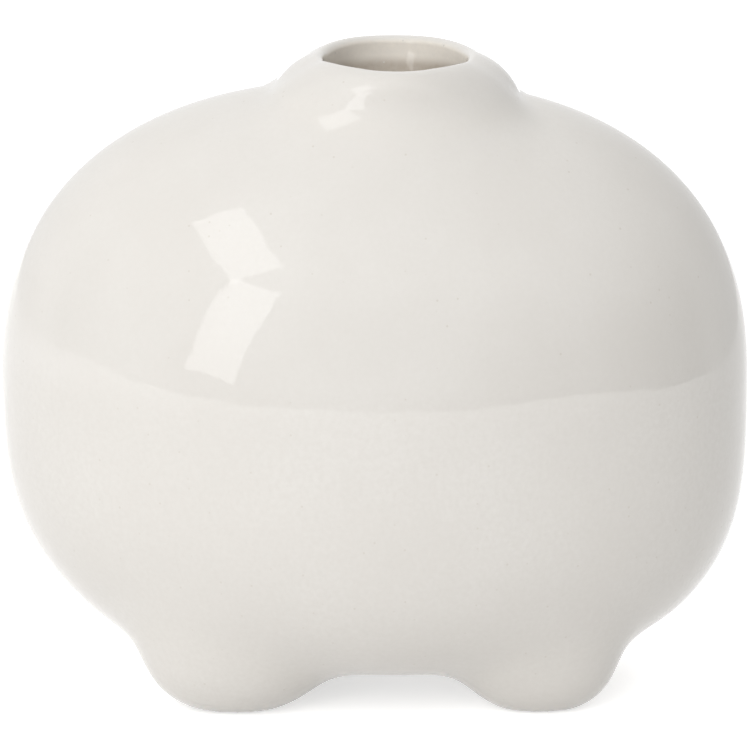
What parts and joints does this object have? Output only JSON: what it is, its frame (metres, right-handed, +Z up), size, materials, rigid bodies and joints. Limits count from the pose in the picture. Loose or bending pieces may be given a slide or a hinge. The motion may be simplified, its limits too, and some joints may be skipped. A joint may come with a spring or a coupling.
{
  "type": "pillow vase",
  "caption": "Squat pillow-shaped ceramic vase with a rounded belly flattened front to back, a short collar neck with a small open mouth, and ball feet smoothed into the underside.",
  "frame": {"origin": "on the table, under the middle of the belly's bounding box", "axes": "+X to the right seen from the front, +Y to the back, +Z up"},
  "size_m": [0.18, 0.114, 0.155],
  "materials": {
    "glazed_clay": "warm white gloss glaze",
    "joint_slip": "fired clay slip"
  },
  "bodies": {
    "root": {"lower_bowl": "glazed_clay", "upper_bowl": "glazed_clay", "neck_collar": "glazed_clay", "front_left_foot": "glazed_clay", "front_right_foot": "glazed_clay", "rear_left_foot": "glazed_clay", "rear_right_foot": "glazed_clay", "waist_slip_seam": "joint_slip", "neck_slip_seam": "joint_slip", "foot_slip_seams": "joint_slip"}
  },
  "joints": []
}
